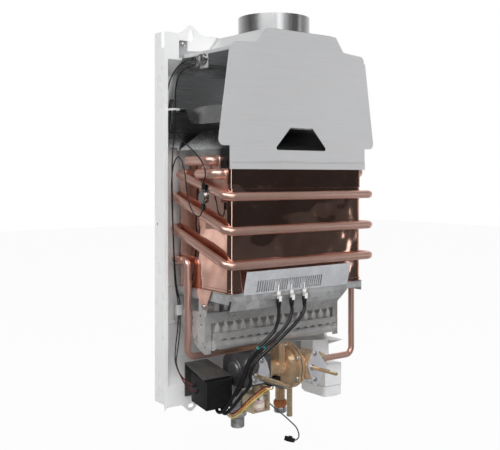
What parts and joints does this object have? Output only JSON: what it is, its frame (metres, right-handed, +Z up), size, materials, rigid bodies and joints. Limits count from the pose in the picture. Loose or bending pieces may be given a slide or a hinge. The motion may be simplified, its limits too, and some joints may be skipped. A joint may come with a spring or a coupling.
{
  "type": "gas water heater",
  "caption": "Wall-hung instantaneous gas water heater with its cover off: chassis, draught hood, finned copper heat exchanger with wound coil, burner, gas and water valves and wiring.",
  "frame": {"origin": "on the wall plane, in the middle of the four wall holes", "axes": "X to the right seen from the front, Y towards the wall, Z up"},
  "size_m": [0.328, 0.1886, 0.6626],
  "materials": {
    "white_paint": "gloss",
    "hood_steel": "satin",
    "copper": "bright, with heat tint",
    "galvanised_steel": "mottled zinc",
    "stainless_steel": "satin",
    "thermostat_metal": "bright",
    "ceramic": "glazed white",
    "rubber": "matt",
    "lead_rubber": "satin",
    "brass": "turned and cast",
    "dark_casting": "matt dark grey",
    "aluminium_plate": "satin",
    "yellow_zinc": "yellow passivated",
    "pink_winding": "satin",
    "zinc": "bright zinc",
    "black_plastic": "satin",
    "dark_steel": "dull",
    "white_plastic": "satin white",
    "battery_label": "gloss",
    "clip_plastic": "matt white",
    "thin_wires": "satin",
    "switch_wires": "satin"
  },
  "bodies": {
    "frame": {"back_plate": "white_paint", "hood_front_panel": "hood_steel", "hood_rear_panel": "hood_steel", "hood_roof": "hood_steel", "hood_baffle": "hood_steel", "hood_collector": "hood_steel", "flue_collar": "hood_steel", "flue_thermostat": "thermostat_metal", "combustion_chamber": "copper", "fin_block_case": "copper", "fins": "copper", "heat_tubes": "copper", "coil": "copper", "left_pipe": "copper", "right_pipe": "copper", "overheat_thermostat": "thermostat_metal", "chamber_support": "galvanised_steel", "grille_plate": "galvanised_steel", "air_deflector": "galvanised_steel", "electrodes": "ceramic", "electrode_bracket": "galvanised_steel", "electrode_boots": "rubber", "ignition_leads": "lead_rubber", "burner_side_left": "galvanised_steel", "burner_side_right": "galvanised_steel", "burner_front_rail": "galvanised_steel", "burner_rear_rail": "galvanised_steel", "burner_blades": "stainless_steel", "gas_manifold": "stainless_steel", "gas_jets": "brass", "gas_riser": "brass", "gas_valve_body": "dark_casting", "gas_valve_plate": "aluminium_plate", "gas_inlet": "galvanised_steel", "inlet_bracket": "galvanised_steel", "solenoid_frame": "yellow_zinc", "solenoid_coil": "pink_winding", "water_valve_body": "brass", "diaphragm": "rubber", "diaphragm_cover": "brass", "screws": "zinc", "water_valve_plate": "aluminium_plate", "union_nut": "brass", "water_inlet": "brass", "hot_outlet": "brass", "microswitch": "black_plastic", "ignition_box": "black_plastic", "ignition_bracket": "dark_steel", "battery_bracket": "white_paint", "battery_box": "white_plastic", "battery": "battery_label", "wire_clips": "clip_plastic", "thermostat_wires": "thin_wires", "control_wires": "switch_wires", "lead_plug": "black_plastic"},
    "gas_spindle": {"gas_spindle": "brass"},
    "water_spindle": {"water_spindle": "brass"},
    "drain_valve": {"drain_valve": "brass"},
    "battery_lid": {"battery_lid": "white_plastic"},
    "switch_lever": {"switch_lever": "dark_steel"}
  },
  "joints": [
    {"name": "gas_spindle_turn", "type": "hinge", "parent": "frame", "child": "gas_spindle", "pos_m": [-0.064, -0.12, -0.2235], "axis": [0, -1, 0], "range_deg": [0, 180]},
    {"name": "water_spindle_turn", "type": "hinge", "parent": "frame", "child": "water_spindle", "pos_m": [0.046, -0.12, -0.2265], "axis": [0, -1, 0], "range_deg": [0, 270]},
    {"name": "drain_valve_turn", "type": "hinge", "parent": "frame", "child": "drain_valve", "pos_m": [0.026, -0.089, -0.28], "axis": [0, 0, -1], "range_deg": [0, 360]},
    {"name": "battery_lid_hinge", "type": "hinge", "parent": "frame", "child": "battery_lid", "pos_m": [0.122, -0.0325, -0.284], "axis": [1, 0, 0], "range_deg": [0, 90]},
    {"name": "switch_lever_pivot", "type": "hinge", "parent": "frame", "child": "switch_lever", "pos_m": [-0.056, -0.119, -0.229], "axis": [0, 1, 0], "range_deg": [0, 3], "stiffness_Nm_per_rad": 0.2, "springref_deg": -2.86}
  ]
}
